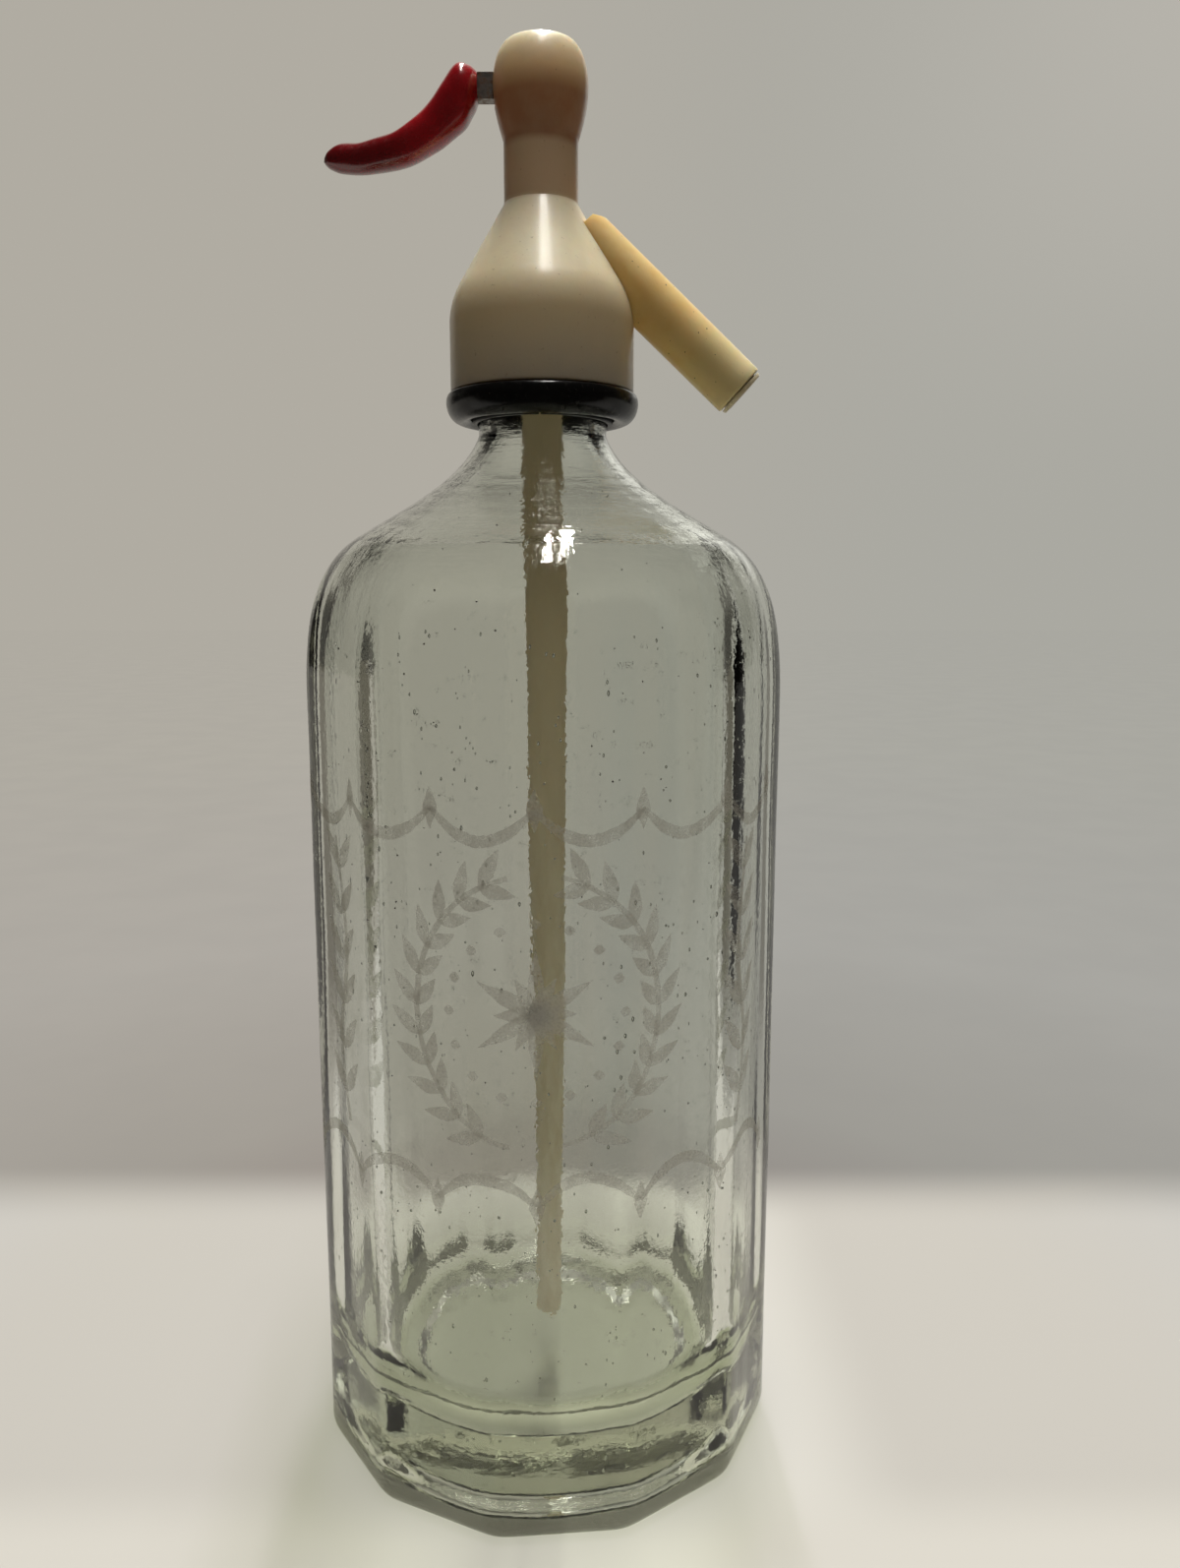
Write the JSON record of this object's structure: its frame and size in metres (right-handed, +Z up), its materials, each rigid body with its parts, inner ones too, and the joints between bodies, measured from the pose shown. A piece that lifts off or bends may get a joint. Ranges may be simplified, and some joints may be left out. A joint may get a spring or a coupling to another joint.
{
  "type": "soda siphon",
  "caption": "Twelve-sided glass bottle with a moulded plastic head, a spring-loaded press lever that lifts a valve rod, a slanting spout and a dip tube.",
  "frame": {"origin": "the bottle's axis where it meets the table, at the bottom centre of the bounding box", "axes": "+Z up along the bottle's axis, the lever to -X, the spout to +X, the front to -Y"},
  "size_m": [0.1032, 0.1032, 0.3023],
  "materials": {
    "glass": "thick pressed glass, pale green-grey, with seeds and a frosted band of ornament",
    "black_plastic": "glossy moulded black",
    "cream_plastic": "semi-gloss aged cream moulding",
    "spout_plastic": "semi-gloss yellowed tube",
    "liner_plastic": "thin grey translucent liner",
    "red_grip": "glossy dipped red coating",
    "steel": "dull grey strip and turned steel",
    "brass": "turned brass",
    "rubber": "black sealing rubber",
    "tube_plastic": "cream tube, slightly glossy"
  },
  "bodies": {
    "root": {"glass_bottle": "glass", "neck_collar": "black_plastic", "split_ring_left": "black_plastic", "split_ring_right": "black_plastic", "neck_gasket": "rubber", "head_body": "cream_plastic", "top_plug": "cream_plastic", "spout_tube": "spout_plastic", "spout_liner": "liner_plastic", "lever_pin": "steel", "return_spring": "steel", "spring_stop": "steel", "rod_seal": "rubber", "seal_gland": "brass", "valve_seat": "brass", "seat_gasket": "rubber", "dip_tube": "tube_plastic", "tube_ferrule": "tube_plastic", "tube_seal_ring": "rubber"},
    "lever": {"lever_arm": "steel", "lever_grip": "red_grip"},
    "valve": {"valve_rod": "steel", "rod_collar": "steel", "disc_holder": "brass", "valve_washer": "rubber", "washer_screw": "steel"}
  },
  "joints": [
    {"name": "lever_press", "type": "hinge", "parent": "root", "child": "lever", "pos_m": [-0.006, 0, 0.29405], "axis": [0, -1, 0], "range_deg": [0, 15], "stiffness_Nm_per_rad": 0.08, "springref_deg": -68.75},
    {"name": "valve_lift", "type": "slide", "parent": "root", "child": "valve", "axis": [0, 0, 1], "range_m": [0, 0.00157], "deforming": ["return_spring"]}
  ],
  "couplings": [
    {"joint": "lever_press", "follows": "valve_lift", "rad_per_m": 166.67}
  ]
}
